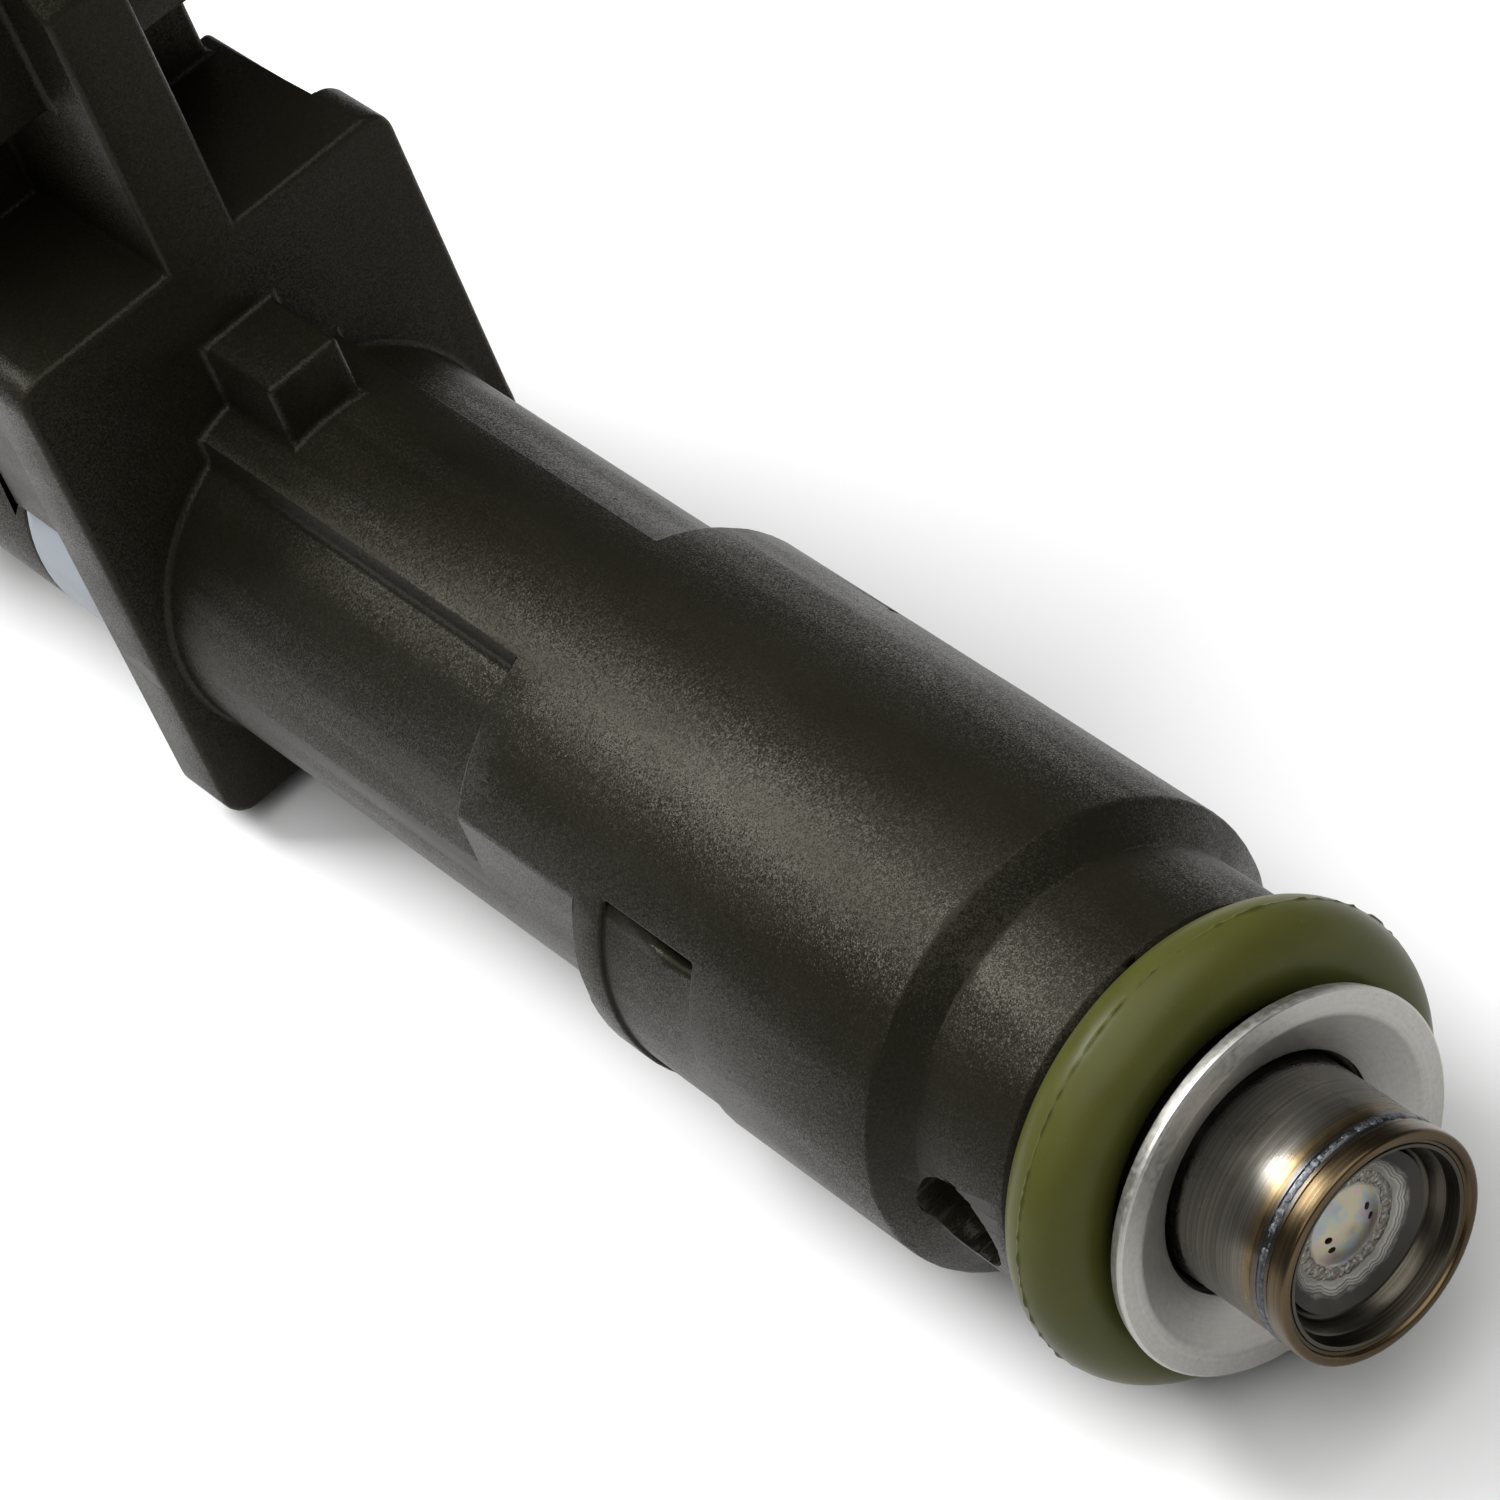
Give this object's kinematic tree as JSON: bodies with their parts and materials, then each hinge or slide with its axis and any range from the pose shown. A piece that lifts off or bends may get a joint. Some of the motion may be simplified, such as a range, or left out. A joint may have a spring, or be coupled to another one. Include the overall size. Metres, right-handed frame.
{
  "type": "fuel injector",
  "caption": "Electromagnetic fuel injector with an overmoulded plug connector, seals at both ends and a lifting valve.",
  "frame": {"origin": "centre of the lower seal, on the injector's axis", "axes": "+Y along the injector's axis from the spray tip to the fuel inlet, +Z from the axis to the plug connector"},
  "size_m": [0.0164, 0.0695, 0.0363],
  "materials": {
    "housing_plastic": "satin, grained",
    "collar_plastic": "satin",
    "backing_plastic": "satin",
    "bobbin_plastic": "satin",
    "filter_plastic": "satin",
    "mesh_plastic": "woven",
    "seal_rubber": "satin",
    "tube_steel": "turned",
    "seat_steel": "polished",
    "disc_steel": "bright",
    "ball_steel": "polished",
    "magnetic_steel": "machined",
    "spring_steel": "drawn wire",
    "retainer_steel": "matte",
    "winding_copper": "enamelled",
    "terminal_brass": "tinned",
    "filter_brass": "satin"
  },
  "bodies": {
    "injector": {"adjusting_tube": "seat_steel", "backing_ring": "backing_plastic", "ball_guide": "seat_steel", "coil_bobbin": "bobbin_plastic", "coil_can": "magnetic_steel", "coil_winding": "winding_copper", "filter_collar": "filter_brass", "filter_frame": "filter_plastic", "filter_mesh": "mesh_plastic", "flux_washer": "magnetic_steel", "half_collar": "collar_plastic", "inlet_tube": "tube_steel", "lower_o_ring": "seal_rubber", "non_magnetic_sleeve": "tube_steel", "orifice_disc": "disc_steel", "overmoulded_housing": "housing_plastic", "pole_piece": "magnetic_steel", "return_spring": "spring_steel", "seal_retainer": "retainer_steel", "terminal_left": "terminal_brass", "terminal_right": "terminal_brass", "upper_o_ring": "seal_rubber", "valve_seat": "seat_steel", "valve_tube": "tube_steel"},
    "needle": {"valve_ball": "ball_steel", "armature_stem": "seat_steel", "armature_core": "magnetic_steel"}
  },
  "joints": [
    {"name": "needle_lift", "type": "slide", "parent": "injector", "child": "needle", "axis": [0, 1, 0], "range_m": [0, 0.00008], "stiffness_N_per_m": 1000}
  ]
}
